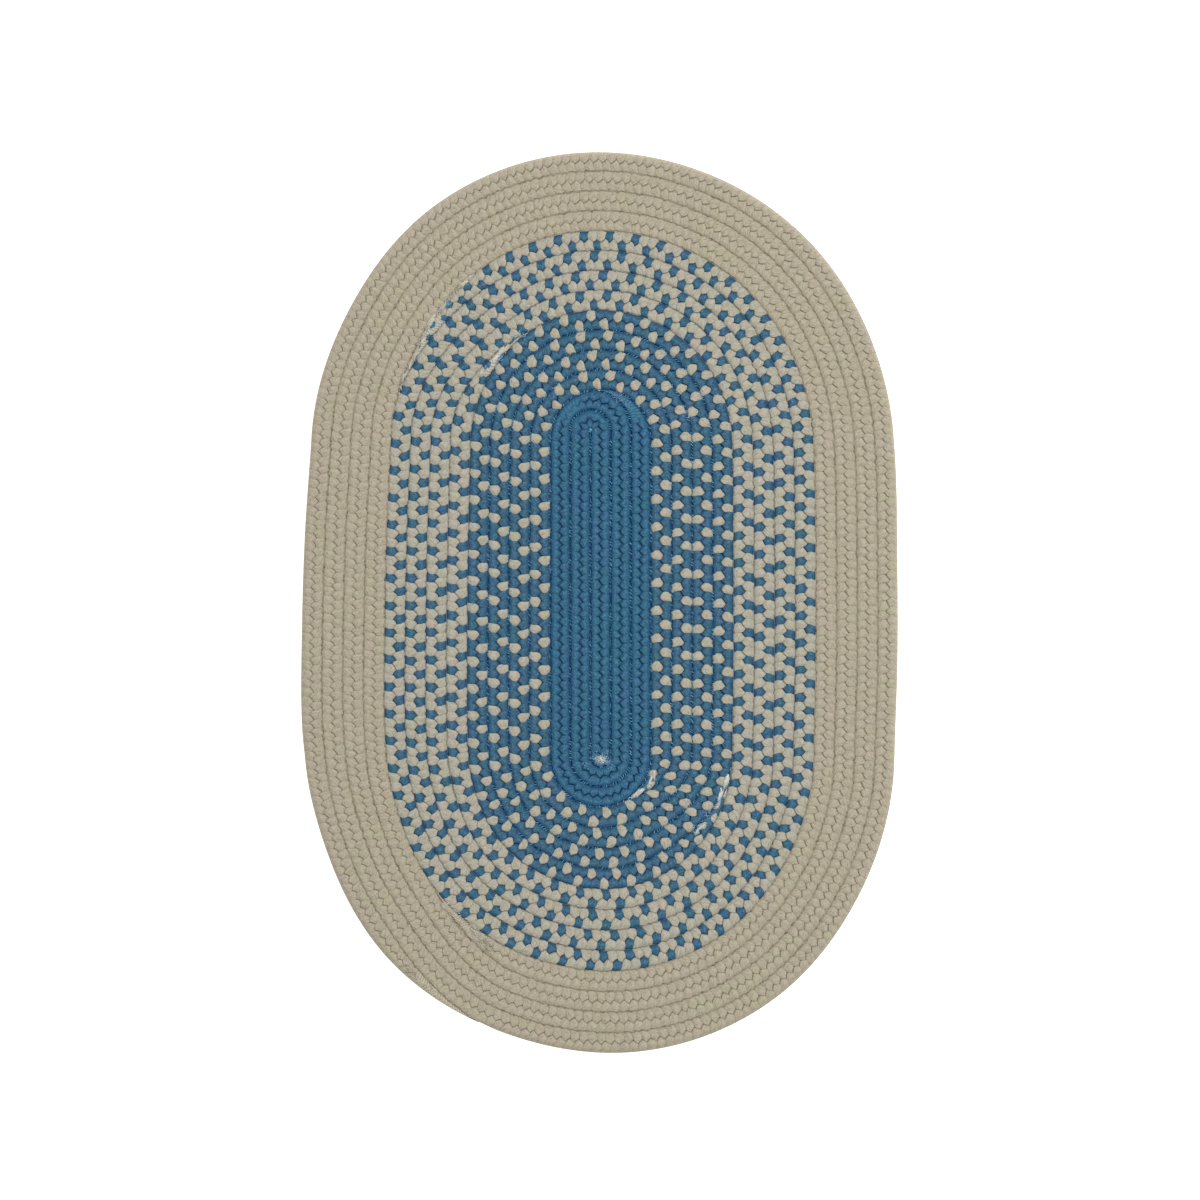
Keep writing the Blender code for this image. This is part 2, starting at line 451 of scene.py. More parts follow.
@dataclass
class Braid:
    """One length of three-strand braid, made as a closed skin of lobes.

    A lobe number counts lobes along the braid from its start. The outer row's lobes lie half a lobe on.
    """

    name: str
    node: str
    path: BraidPath
    shape: LobeShape
    lobes: tuple[tuple[float, ...], ...] = ()
    first_odd: float = 0.0
    odd_plumpness: float = 0.0  # how far an odd lobe pushes its borders out, in pitches
    odd_taper: float = 0.0  # how far its corners draw in at the braid's edge
    flat_below: float = 0.5  # share of the full width under which a tapered end is flat, overcast tape
    flat_fade: float = 0.2  # over how much of the width lobes fade into tape
    edge_keeps: float = 1.6  # how much better the rounded edge keeps its size than the width does
    tucked: float = 0.55  # how far a tip on the rug's own edge sinks, as it is drawn in under the lacing
    tucked_below: float = 0.16  # share of the full width where it starts to
    seed: int = 1

    def lobe_scale(self) -> tuple[np.ndarray, np.ndarray]:
        """Pairs of lobe number and length along the braid, at the leg marks and both ends.

        Returns:
            The numbers and the lengths, in metres, both rising.
        """
        pitch = self.shape.pitch * MM
        numbers, lengths = [0.0], [0.0]
        marks = [mark for mark in self.path.marks if 0 < mark < self.path.total] + [self.path.total]
        for count, mark in zip([count for lap in self.lobes for count in lap], marks):
            numbers.append(numbers[-1] + count)
            lengths.append(mark)
        if lengths[-1] < self.path.total:
            numbers.append(numbers[-1] + (self.path.total - lengths[-1]) / pitch)
            lengths.append(self.path.total)
        return np.array(numbers), np.array(lengths)

    def rows(self, last: float) -> list[LobeRow]:
        """Lays out both rows of lobes.

        Args:
            last: the lobe number at the braid's end.

        Returns:
            The inner row and the outer row.
        """
        shape = self.shape
        rng = np.random.default_rng(self.seed)
        first = self.first_odd % 1.0 - 1.0
        count = int(last - first) + 3
        half = np.arange(-1, 2 * count + 2)
        inner_tip = half % 2 == 0
        zigzag = 0.5 + np.where(inner_tip, shape.zigzag, -shape.zigzag)
        corners = np.stack([first + half / 2, zigzag], axis=-1)
        stray_by = (shape.unevenness, shape.unevenness * shape.corner_across)
        corners += rng.normal(0.0, 1.0, corners.shape) * stray_by
        order = np.arange(count)
        odd = [np.mod(np.round(first + order - row - self.first_odd).astype(int), 3) == 0 for row in Row]
        rows = []
        for row in Row:
            centres = first + 0.5 * row + np.arange(count)
            edge = np.append(centres, centres[-1] + 1) - 0.5 - shape.slant - shape.spur
            edge += rng.normal(0.0, shape.unevenness * shape.corner_along, edge.shape)
            edge[:-1] += self.odd_taper * odd[row]
            edge[1:] -= self.odd_taper * odd[row]
            places = 1 + row + 2 * np.arange(count)
            sides = corners if row is Row.INNER else np.stack([corners[:, 0], 1 - corners[:, 1]], axis=-1)
            shoulders = np.stack([sides[places - 1], sides[places + 1]], axis=1)
            own, other = odd[row], odd[1 - row]
            neighbours = [np.roll(own, 1), np.roll(other, 1 - row), np.roll(other, -row), np.roll(own, -1)]
            push = self.odd_plumpness * (own.astype(float) - np.array(neighbours, dtype=float))
            rows.append(
                LobeRow(
                    np.stack([edge[:-1], edge[1:]], axis=-1), shoulders, sides[places], own, push.T,
                    rng.random(count), rng.random(count),
                )
            )
        return rows

    def build(self) -> bpy.types.Object:
        """Makes the braid's mesh, with its yarn and tint on every face.

        Returns:
            The braid, in the scene, with no materials yet.
        """
        scale = self.lobe_scale()
        skin = Skin()
        for row, lobes in zip(Row, self.rows(scale[0][-1])):
            for face in Face:
                self._add_row(skin, row, face, lobes, scale)
        return self._to_object(skin)

    def _add_row(
        self, skin: Skin, row: Row, face: Face, lobes: LobeRow, scale: tuple[np.ndarray, np.ndarray]
    ) -> None:
        """Adds one row of lobes on one face of the braid.

        Args:
            skin: what the lobes are added to.
            row: which row.
            face: which face.
            lobes: the row's layout.
            scale: pairs of lobe number and length along the braid.
        """
        shape = self.shape
        above = face is Face.UPPER
        a = np.array(shape.places)
        edge = np.array(shape.edge_above if above else shape.edge_below)
        crown = np.array(shape.crown_above if above else shape.crown_below)
        rims = len(edge)
        na, nb = len(a), rims + len(crown)
        b = np.concatenate([np.zeros(rims), crown[:, 0]])[None, None, :]
        at_tip = b > 0.999
        # The tip side runs from one shoulder over the tip to the other; the edge side is straight.
        second = (a > 0.5)[None, :, None]
        t = (2 * a - (a > 0.5))[None, :, None]
        start = np.where(second, lobes.tips[:, None, :], lobes.shoulders[:, :1, :])
        end = np.where(second, lobes.shoulders[:, 1:, :], lobes.tips[:, None, :])
        zigzag = start + (end - start) * t
        # Every stretch of the zigzag rounds out back along the braid, towards the lobe that goes under.
        side_way = np.where(second, -1.0, 1.0) * shape.bulge_across
        round_out = np.stack([np.full_like(t, -1.0), side_way], axis=-1)[..., 0, :]
        arch = 4 * t * (1 - t)
        zigzag = zigzag + shape.bulge * arch * round_out
        push_tip = np.where(second[..., 0], lobes.push[:, 2:3], lobes.push[:, 1:2])[..., None]
        push_way = np.concatenate([np.where(second, 0.7, -0.7), np.full_like(t, 0.5)], axis=-1)
        zigzag = zigzag + push_tip * arch * push_way
        at_edge = (lobes.edge[:, :1] + (lobes.edge[:, 1:] - lobes.edge[:, :1]) * a)[..., None]
        spur_left = np.concatenate([np.zeros(rims), np.full(len(crown), shape.spur)]) * (1 - b)
        push_side = lobes.push[:, 3:] * a - lobes.push[:, :1] * (1 - a)
        numbers = at_edge * (1 - b) + zigzag[..., :1] * b + spur_left + push_side[..., None] * 4 * b * (1 - b)
        numbers = np.clip(numbers, scale[0][0], scale[0][-1])
        length = np.interp(numbers, *scale)
        inner, outer = self.path.edges(length)
        width = np.linalg.norm(outer - inner, axis=-1)
        along = (outer - inner) / np.maximum(width, 1e-9)[..., None]
        fullness = width / (shape.braid_width * MM)
        relief = smooth((fullness - self.flat_below) / self.flat_fade)
        squeeze = np.minimum(fullness * self.edge_keeps, 1.0)
        freedom = self.path.freedom(length) * row
        rim_in = (edge[:, 0] + (edge[:, 1] - edge[:, 0]) * freedom[..., :rims]) * MM
        rim_depth = (edge[:, 2] + (edge[:, 3] - edge[:, 2]) * freedom[..., :rims]) * MM
        edge_in = rim_in * squeeze[..., :rims]
        last_in = (edge[-1, 0] + (edge[-1, 1] - edge[-1, 0]) * freedom) * MM * squeeze
        reach = last_in + (width * zigzag[..., 1:] - last_in) * b
        across = np.concatenate([edge_in, reach[..., rims:]], axis=-1)

        fold = hollow(a)[None, :, None]
        notch = hollow(np.mod(2 * a, 1.0))[None, :, None] * at_tip
        side = shape.side_crease * MM * np.where(at_tip, 0.0, fold)
        # The first half of a lobe's tip lies over its neighbour and the second half goes under the next. The
        # crease is deeper where the outer row lies over the inner row.
        under = smooth((a - shape.goes_under[0]) / shape.goes_under[1])[:, None]
        on_crown = crown[:, 1] * (1 - under) + crown[:, 2] * under
        shares = np.concatenate([np.zeros((na, rims)), on_crown], axis=1)
        outer_over = np.where((a > 0.5) == (row is Row.INNER), 1.0, -1.0) * (a != 0.5)
        tipped = (shares * shape.tip_crease * MM * (1 + shape.overlap * outer_over)[:, None])[None]
        depth = np.sqrt(side**2 + (tipped + notch * shape.junction * MM) ** 2)
        inside = (1 - fold) * np.where(np.arange(nb) < rims, 0.0, 1 - shares)[None]
        depth = (depth + inside * lobes.puff[:, None, None] * shape.puff * MM) * relief
        press_in = np.concatenate([edge[:, 4], np.zeros(len(crown))])
        press_down = np.concatenate([edge[:, 5], np.ones(len(crown))])
        sunk = np.concatenate([rim_depth, np.zeros((*rim_depth.shape[:2], len(crown)))], axis=-1)
        across = across + depth * press_in
        strays = np.concatenate([shape.seam_stray, np.zeros(nb - len(shape.seam_stray))]) * MM
        base, toward = (inner, 1.0) if row is Row.INNER else (outer, -1.0)
        sideways = stray(base) * strays * (1 - freedom) * squeeze if above else 0.0
        fall = sunk + depth * press_down
        z = shape.thickness * MM - fall if above else fall
        z *= 1 - self.tucked * self.path.freedom(length) * (1 - smooth(fullness / self.tucked_below))
        across_plan = (toward * across + sideways)[..., None]
        points = np.concatenate([base + along * across_plan, z[..., None]], axis=-1)

        count = len(points)
        index = skin.count + np.arange(count * na * nb).reshape(count, na, nb)
        quads = np.stack(
            [index[:, :-1, :-1], index[:, 1:, :-1], index[:, 1:, 1:], index[:, :-1, 1:]], axis=-1
        )
        if (row is Row.INNER) == above:
            quads = quads[..., ::-1]
        skin.count += count * na * nb
        skin.points.append(points.reshape(-1, 3))
        skin.faces.append(quads.reshape(-1, 4))
        per_lobe = (na - 1) * (nb - 1)
        skin.yarn.append(np.repeat(lobes.odd.astype(int), per_lobe))
        skin.tint.append(np.repeat(lobes.tint, per_lobe))
        crease = np.zeros((count, na, nb))
        crease[:, [0, -1], :] = shape.side_shade
        crease[:, :, -2] = shape.crown_shade
        crease[:, [0, -1], -2] = shape.corner_shade
        crease[:, :, -1] = shape.tip_shade + shape.over_shade * outer_over
        skin.crease.append((crease * (shape.tape_shade + (1 - shape.tape_shade) * relief)).reshape(-1))
        seam = np.zeros((count, na, nb))
        seam[:, :, :rims] = np.array(shape.seam_shade)[:rims] * (1 - freedom[..., :rims])
        skin.seam.append(seam.reshape(-1))
        skin.tape.append((1 - relief).reshape(-1))
        u = (a - 0.5)[None, :, None] * shape.pitch + np.zeros((count, na, nb))
        v = (across - sunk) / MM
        skin.lobe_uv.append(np.stack([u, v], axis=-1).reshape(-1, 2))
        steps = np.linalg.norm(np.diff(points, axis=2), axis=-1).mean(axis=(0, 1))
        share = np.concatenate([[0.0], np.cumsum(steps)]) / steps.sum()
        skin.bake_uv.append(self._unrolled(length, share, row, face))

    def _unrolled(self, length: np.ndarray, share: np.ndarray, row: Row, face: Face) -> np.ndarray:
        """Lays the skin out flat: the braid cut into equal lines, each with its whole girth.

        Args:
            length: lengths along the braid of the grid points.
            share: how far round from the edge to the zigzag each grid line lies.
            row: which row of lobes.
            face: which face.

        Returns:
            A place from 0 to 1 each way for every grid point.
        """
        girth = self.shape.girth * self.shape.braid_width * MM
        lines = max(1, math.ceil(math.sqrt(self.path.total / girth)))
        line_length = self.path.total / lines
        line = np.minimum((length.mean(axis=(1, 2)) / line_length).astype(int), lines - 1)
        margin = self.shape.pitch * MM
        x = (length - (line * line_length)[:, None, None] + margin) / (line_length + 2 * margin)
        # Round the girth: from the zigzag below to the inner edge, over the top, and back to the zigzag.
        inner = [(Row.INNER, Face.UNDER), (Row.INNER, Face.UPPER)]
        quarter = [*inner, (Row.OUTER, Face.UPPER), (Row.OUTER, Face.UNDER)].index((row, face))
        y = (quarter + (share if quarter in (1, 3) else 1 - share)) / 4
        room = 1 - 2 * UV_MARGIN
        v = (line[:, None, None] + UV_MARGIN + room * np.broadcast_to(y, length.shape)) / lines
        return np.stack([x, v], axis=-1).reshape(-1, 2)

    def _to_object(self, skin: Skin) -> bpy.types.Object:
        """Makes a finished skin into an object, with its attributes, yarns and UV maps.

        Args:
            skin: the skin of all the lobes.

        Returns:
            The braid, in the scene.
        """
        points = np.concatenate(skin.points)
        faces = np.concatenate(skin.faces)
        mesh = bpy.data.meshes.new(self.name)
        mesh.vertices.add(len(points))
        mesh.vertices.foreach_set("co", points.ravel())
        mesh.loops.add(faces.size)
        mesh.loops.foreach_set("vertex_index", faces.ravel().astype(np.int32))
        mesh.polygons.add(len(faces))
        mesh.polygons.foreach_set("loop_start", np.arange(0, faces.size, 4, dtype=np.int32))
        mesh.update(calc_edges=True)
        for name, values in (("crease", skin.crease), ("seam", skin.seam), ("tape", skin.tape)):
            layer = mesh.attributes.new(name, "FLOAT", "POINT")
            layer.data.foreach_set("value", np.concatenate(values).astype(np.float32))
        tint = mesh.attributes.new("tint", "FLOAT", "FACE")
        tint.data.foreach_set("value", np.concatenate(skin.tint).astype(np.float32))
        mesh.polygons.foreach_set("material_index", np.concatenate(skin.yarn).astype(np.int32))
        for layer, uv in (("OFBake", skin.bake_uv), ("Lobe", skin.lobe_uv)):
            data = mesh.uv_layers.new(name=layer).data
            data.foreach_set("uv", np.concatenate(uv)[faces.ravel()].astype(np.float32).ravel())
        obj = bpy.data.objects.new(self.name, mesh)
        bpy.context.scene.collection.objects.link(obj)
        close_skin(mesh)
        return obj


def close_skin(mesh: bpy.types.Mesh) -> None:
    """Welds the lobes together, closes the two cut ends and shades the skin smooth.

    Args:
        mesh: the skin, which is changed in place.
    """
    work = bmesh.new()
    work.from_mesh(mesh)
    bmesh.ops.remove_doubles(work, verts=work.verts, dist=WELD_MM * MM)
    bmesh.ops.dissolve_degenerate(work, edges=work.edges, dist=SLIVER_MM * MM)
    border = [edge for edge in work.edges if edge.is_boundary]
    bmesh.ops.holes_fill(work, edges=border, sides=0)
    for face in work.faces:
        face.smooth = True
    work.to_mesh(mesh)
    work.free()
    mesh.set_sharp_from_angle(angle=math.radians(SHARP_DEGREES))


# ----------------------------------------------------------------------------------------------------
# Lacing
# ----------------------------------------------------------------------------------------------------


@dataclass
class Lacing:
    """The heavy thread that sews a braid's inner edge to its neighbour.

    A core of thread lies deep along the seam. Stitches cross the seam at a slant, from the shoulder of the
    neighbour on the inside to the braid's own, with their ends tucked into the yarn.
    """

    name: str
    paths: list[BraidPath]
    start: float = 0.0  # where along the first path it starts, in metres
    stitch: float = 3.4  # millimetres, as the sizes below
    core_step: float = 4.0
    core_thickness: float = 1.6
    core_depth: float = 3.3
    thickness: float = 0.8
    reach: float = 1.5  # over the shoulders to either side
    slant: float = 1.1  # along the seam, for the same half of a stitch
    # How deep a stitch lies: shares of the reach, and the depth at each.
    bridge: tuple[tuple[float, ...], ...] = ((0.0, 0.6, 1.0), (0.85, 0.5, 1.3))
    shown: float = 0.7  # share of the stitches that show
    stop_short: float = 0.0  # how far before the last path's end it stops
    gap: float = 0.0003  # between neighbours, in metres
    top: float = 11.5
    clear_ends: float = 0.005  # of stitches, in metres
    core_sides: int = 4
    stitch_sides: int = 3
    seed: int = 11

    def build(self) -> bpy.types.Object:
        """Makes the thread of all the seams as one mesh.

        Returns:
            The thread, in the scene.
        """
        rng = np.random.default_rng(self.seed)
        work = bmesh.new()
        for number, path in enumerate(self.paths):
            start = self.start if number == 0 else 0.0
            stop = path.total - self.stop_short * MM
            lengths = np.linspace(start, stop, int((stop - start) / (self.core_step * MM)))
            core = self._along_seam(path, lengths, 0.0, self.core_depth)
            add_tube(work, core, self.core_thickness / 2 * MM, self.core_sides)
            for crest in np.arange(start + self.clear_ends, stop - self.clear_ends, self.stitch * MM):
                if rng.random() < self.shown:
                    self._add_stitch(work, path, crest, rng)
        return finished(self.name, work)

    def _along_seam(
        self, path: BraidPath, lengths: np.ndarray, over: np.ndarray | float, depth: np.ndarray | float
    ) -> np.ndarray:
        """Points along a braid's inner seam.

        Args:
            path: the braid's path.
            lengths: lengths along it, in metres.
            over: how far each point lies over to the inner neighbour, in millimetres.
            depth: how far it lies below the top, in millimetres.

        Returns:
            One point in space for each length.
        """
        inner, outer = path.edges(lengths)
        along = (outer - inner) / np.maximum(np.linalg.norm(outer - inner, axis=1), 1e-9)[:, None]
        across = (self.gap / 2 + np.broadcast_to(over, lengths.shape) * MM)[:, None]
        height = np.broadcast_to(self.top - depth, lengths.shape) * MM
        return np.column_stack([inner - along * across, height])

    def _add_stitch(
        self, work: bmesh.types.BMesh, path: BraidPath, crest: float, rng: np.random.Generator
    ) -> None:
        """Adds one stitch across the seam, with both its ends tucked in.

        Args:
            work: the mesh it is added to.
            path: the path of the braid that is sewn on.
            crest: length along it at which the stitch crosses the seam, in metres.
            rng: for what differs from stitch to stitch.
        """
        share = np.array([-1.0, -0.6, 0.0, 0.6, 1.0])
        middle = crest + rng.uniform(-0.25, 0.25) * self.stitch * MM
        lengths = np.clip(middle + share * self.slant * rng.uniform(0.5, 1.3) * MM, 0.0, path.total)
        over = share * self.reach * rng.uniform(0.7, 1.1) + rng.uniform(-0.5, 0.5)
        depth = np.interp(np.abs(share), *self.bridge) + rng.uniform(-0.1, 0.25)
        points = self._along_seam(path, lengths, over, depth)
        add_tube(work, points, self.thickness / 2 * MM, self.stitch_sides)


def add_tube(work: bmesh.types.BMesh, centres: np.ndarray, radius: float, sides: int) -> None:
    """Adds a thread: a tube with closed ends.

    Args:
        work: the mesh it is added to.
        centres: the points it runs through.
        radius: half its thickness, in metres.
        sides: how many faces it has round it.
    """
    tangent = np.gradient(centres, axis=0)
    tangent /= np.linalg.norm(tangent, axis=1)[:, None]
    across = np.stack([tangent[:, 1], -tangent[:, 0], np.zeros(len(centres))], axis=1)
    across /= np.maximum(np.linalg.norm(across, axis=1), 1e-9)[:, None]
    up = np.cross(across, tangent)
    angles = 2 * math.pi * np.arange(sides) / sides
    ring = across[:, None] * np.cos(angles)[None, :, None] + up[:, None] * np.sin(angles)[None, :, None]
    points = centres[:, None] + ring * radius
    verts = [[work.verts.new(point) for point in section] for section in points]
    for first, second in zip(verts, verts[1:]):
        for k in range(sides):
            work.faces.new((first[k - 1], first[k], second[k], second[k - 1]))
    work.faces.new(verts[0][::-1])
    work.faces.new(verts[-1])


def finished(name: str, work: bmesh.types.BMesh) -> bpy.types.Object:
    """Turns a finished mesh into an object, shaded smooth with its faces pointing out.

    Args:
        name: the object's name.
        work: the finished mesh, which is freed.

    Returns:
        The object, in the scene.
    """
    bmesh.ops.recalc_face_normals(work, faces=work.faces)
    for face in work.faces:
        face.smooth = True
    mesh = bpy.data.meshes.new(name)
    work.to_mesh(mesh)
    work.free()
    obj = bpy.data.objects.new(name, mesh)
    bpy.context.scene.collection.objects.link(obj)
    return obj


@dataclass(frozen=True)
class FrayedPlace:
    """A stretch of one braid where cut yarn ends show, in millimetres and shares of the braid's width."""

    braid: str
    start: float  # along the braid, counted back from its end when below zero
    end: float
    across: float  # where across the braid the middle of the fray lies
    spread: float  # to either side of that
    fibres: int
    length: float
    clumps: int = 0  # twisted bunches, where a yarn's end lies on top


@dataclass
class Fray:
    """Loose fibres that lie over the braid where its yarns were cut and sewn down."""

    name: str
    places: tuple[FrayedPlace, ...]
    paths: dict[str, BraidPath]
    thickness: float = 0.6  # millimetres, as the sizes below
    top: float = 11.5
    sections: int = 4
    sides: int = 3
    clump_fibres: int = 12
    clump_length: float = 2.2  # of its fibres, in lengths of a loose one
    sunk: float = 0.3  # how deep the ends lie
    seed: int = 21

    def build(self) -> bpy.types.Object:
        """Makes all the fibres as one mesh.

        Returns:
            The fibres, in the scene.
        """
        rng = np.random.default_rng(self.seed)
        work = bmesh.new()
        for place in self.places:
            for _ in range(place.fibres):
                self._add_fibre(work, place, rng)
            for _ in range(place.clumps):
                self._add_clump(work, place, rng)
        return finished(self.name, work)

    def _spot(self, place: FrayedPlace, rng: np.random.Generator) -> tuple[np.ndarray, float]:
        """Picks a spot in a frayed place.

        Args:
            place: the frayed place.
            rng: for the choice.

        Returns:
            The spot in plan, and the braid's heading there in radians.
        """
        path = self.paths[place.braid]
        way = rng.uniform(place.start, place.end) * MM
        length = np.array([way if place.start >= 0 else path.total + way])
        inner, outer = (edge[0] for edge in path.edges(length))
        along = (outer - inner) / max(np.linalg.norm(outer - inner), 1e-9)
        across = rng.normal(0.0, place.spread * 0.5) * MM
        spot = inner + (outer - inner) * place.across + along * across
        return spot, math.atan2(along[0], -along[1]) + math.pi

    def _add_fibre(self, work: bmesh.types.BMesh, place: FrayedPlace, rng: np.random.Generator) -> None:
        """Adds one fibre: a gentle curve on top of the braid, with both ends pressed into it.

        Args:
            work: the mesh it is added to.
            place: the frayed place it lies in.
            rng: for what differs from fibre to fibre.
        """
        spot, heading = self._spot(place, rng)
        heading += rng.normal(0.0, 0.7)
        length = place.length * rng.uniform(0.5, 1.3) * MM
        turn = rng.normal(0.0, 0.8)
        share = np.linspace(-0.5, 0.5, self.sections)
        angles = heading + turn * share
        steps = np.stack([np.cos(angles), np.sin(angles)], axis=1) * length / (self.sections - 1)
        plan = spot + np.cumsum(steps, axis=0) - steps.sum(axis=0) / 2
        rise = (1 - 4 * share**2) * rng.uniform(0.1, 0.35)
        z = (self.top - self.sunk + rise) * MM
        add_tube(work, np.column_stack([plan, z]), self.thickness * rng.uniform(0.35, 0.55) * MM, self.sides)

    def _add_clump(self, work: bmesh.types.BMesh, place: FrayedPlace, rng: np.random.Generator) -> None:
        """Adds a bunch of fibres that lie close together along the braid.

        Args:
            work: the mesh they are added to.
            place: the frayed place they lie in.
            rng: for what differs from fibre to fibre.
        """
        spot, heading = self._spot(place, rng)
        heading += rng.normal(0.0, 0.12)
        forward = np.array([math.cos(heading), math.sin(heading)])
        aside = np.array([-forward[1], forward[0]])
        for _ in range(self.clump_fibres):
            length = self.clump_length * place.length * rng.uniform(0.7, 1.2) * MM
            share = np.linspace(-0.5, 0.5, self.sections)
            offset = (rng.normal(0.0, 0.6) + rng.normal(0.0, 0.25, self.sections)) * MM
            way = share * length + rng.normal(0.0, 1.0) * MM
            plan = spot + forward * way[:, None] + aside * offset[:, None]
            z = (self.top - self.sunk + (1 - 4 * share**2) * rng.uniform(0.2, 0.7)) * MM
            radius = self.thickness * rng.uniform(0.5, 0.8) * MM
            add_tube(work, np.column_stack([plan, z]), radius, self.sides)


# ----------------------------------------------------------------------------------------------------
# Finishes
# ----------------------------------------------------------------------------------------------------


def srgb(hex_colour: str) -> tuple[float, float, float, float]:
    """Linear colour of a six-digit sRGB hex colour."""
    channels = [int(hex_colour.lstrip("#")[k : k + 2], 16) / 255 for k in (0, 2, 4)]
    linear = [c / 12.92 if c <= 0.04045 else ((c + 0.055) / 1.055) ** 2.4 for c in channels]
    return (*linear, 1.0)


def add_node(
    tree: bpy.types.NodeTree, kind: str, inputs: dict[str | int, object] | None = None, **settings: object
) -> bpy.types.Node:
    """Adds a node with its settings, and values or links for its inputs.

    Args:
        tree: the node tree.
        kind: the node's type name.
        inputs: input name or number, to a value or to the output socket that feeds it.
        settings: properties of the node itself.

    Returns:
        The node.
    """
    node = tree.nodes.new(kind)
    for key, value in settings.items():
        setattr(node, key, value)
    for key, value in (inputs or {}).items():
        if isinstance(value, bpy.types.NodeSocket):
            tree.links.new(value, node.inputs[key])
        else:
            node.inputs[key].default_value = value
    return node


@dataclass(frozen=True)
class ThreadFinish:
    """Spun fibre: polyester lacing thread, or the loose ends of the yarn.

    Twisted plies catch the light in turn, so from above it shows as light and dark dashes. It is dull, with
    next to no highlight.
    """

    name: str
    colour: str
    twist_shade: str

    def material(self) -> bpy.types.Material:
        """Makes the material: plies 0.8 mm apart, and a shade that drifts over some 10 mm.

        Returns:
            The material.
        """
        material = bpy.data.materials.new(self.name)
        material.use_nodes = True
        tree = material.node_tree
        shader = tree.nodes["Principled BSDF"]
        place = add_node(tree, "ShaderNodeTexCoord").outputs["Object"]
        twist = add_node(tree, "ShaderNodeTexNoise", {"Vector": place, "Scale": 1250.0}).outputs["Fac"]
        uneven = add_node(tree, "ShaderNodeTexNoise", {"Vector": place, "Scale": 100.0}).outputs["Fac"]
        noise = add_node(tree, "ShaderNodeMix", {0: 0.6, 2: twist, 3: uneven}).outputs[0]
        ramp = add_node(tree, "ShaderNodeValToRGB", {"Fac": noise})
        ramp.color_ramp.elements[0].position = 0.42
        ramp.color_ramp.elements[1].position = 0.58
        ramp.color_ramp.elements[0].color = srgb(self.twist_shade)
        ramp.color_ramp.elements[1].color = srgb(self.colour)
        tree.links.new(ramp.outputs["Color"], shader.inputs["Base Color"])
        shader.inputs["Roughness"].default_value = 0.75
        shader.inputs["Specular IOR Level"].default_value = 0.15
        return material


